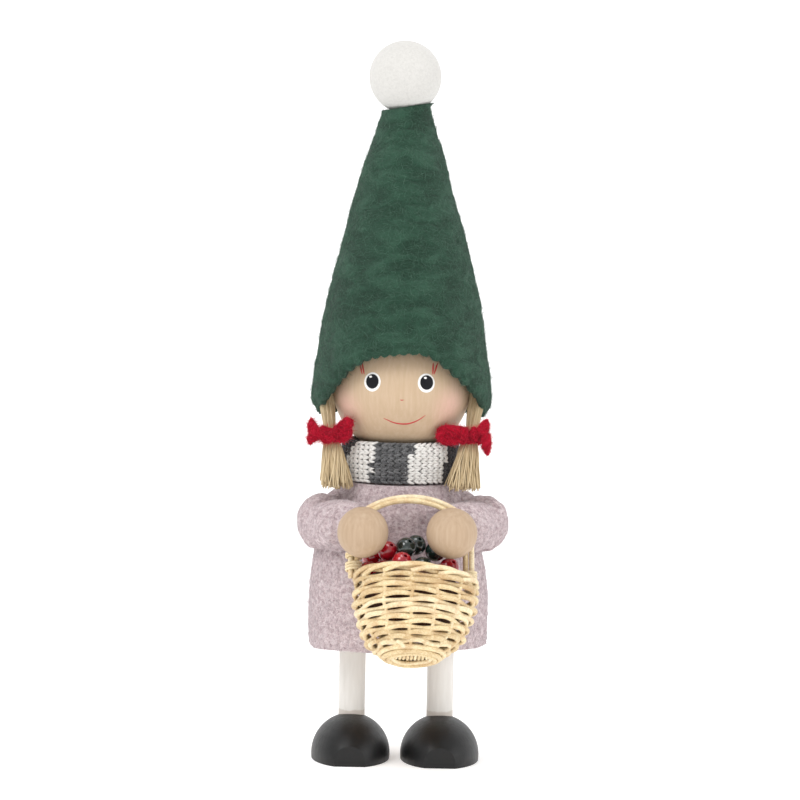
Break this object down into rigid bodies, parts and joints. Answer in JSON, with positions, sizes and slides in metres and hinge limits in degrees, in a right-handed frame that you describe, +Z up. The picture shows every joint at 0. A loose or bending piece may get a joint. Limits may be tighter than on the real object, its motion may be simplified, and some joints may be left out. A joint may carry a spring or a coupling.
{
  "type": "folk craft figurine",
  "caption": "Standing wooden tomte girl in a felt hat and coat, with a scarf, pigtails and a berry basket on her arms.",
  "frame": {"origin": "middle of the whole object's box, on the ground; the figure's own axis stands 0.8 mm to -X and 12.6 mm to +Y of it, because the arms and basket reach forward", "axes": "+Z up, the face looks along -Y, +X is the figure's own left side"},
  "size_m": [0.0525, 0.0706, 0.18],
  "materials": {
    "pom_felt": "smooth matt white ball",
    "hat_felt": "pressed wool felt with loose fibres",
    "face_wood": "fine sanded, unvarnished, painted features",
    "hand_wood": "fine sanded, unvarnished",
    "dowel_wood": "plain dowel",
    "core_wood": "plain turned wood",
    "coat_felt": "melange wool felt",
    "scarf_knit": "striped wool knit",
    "hair": "combed flax strands",
    "red_yarn": "thick fuzzy wool yarn",
    "wire": "plain wire",
    "leg_paint": "matt painted dowel",
    "shoe_paint": "matt painted wood",
    "cane": "split cane, natural",
    "filler": "rough wadding",
    "red_bead": "glossy lacquered bead",
    "green_bead": "glossy lacquered bead"
  },
  "bodies": {
    "root": {"body_core": "core_wood", "neck_peg": "dowel_wood", "coat": "coat_felt", "scarf": "scarf_knit", "sleeve_left": "coat_felt", "sleeve_right": "coat_felt", "arm_wire_left": "wire", "arm_wire_right": "wire", "hand_left": "hand_wood", "hand_right": "hand_wood", "leg_left": "leg_paint", "leg_right": "leg_paint", "shoe_left": "shoe_paint", "shoe_right": "shoe_paint"},
    "head": {"head": "face_wood", "hat": "hat_felt", "pom_ball": "pom_felt", "pigtail_left": "hair", "pigtail_right": "hair", "hair_tie_left": "red_yarn", "hair_tie_right": "red_yarn"},
    "basket": {"basket_wall": "cane", "basket_base": "cane", "basket_rim": "cane", "basket_handle": "cane", "basket_filler": "filler", "berry_red_1": "red_bead", "berry_red_2": "red_bead", "berry_red_3": "red_bead", "berry_red_4": "red_bead", "berry_red_5": "red_bead", "berry_red_6": "red_bead", "berry_red_7": "red_bead", "berry_red_8": "red_bead", "berry_green_1": "green_bead", "berry_green_2": "green_bead", "berry_green_3": "green_bead", "berry_green_4": "green_bead"}
  },
  "joints": [
    {"name": "head_turn", "type": "hinge", "parent": "root", "child": "head", "pos_m": [-0.0008, 0.0126, 0.0764], "axis": [0, 0, 1], "range_deg": [-20, 20]},
    {"name": "basket_swing", "type": "hinge", "parent": "root", "child": "basket", "pos_m": [0.00072, -0.01376, 0.0608], "axis": [-0.9983, -0.0576, 0], "range_deg": [0, 4]}
  ]
}
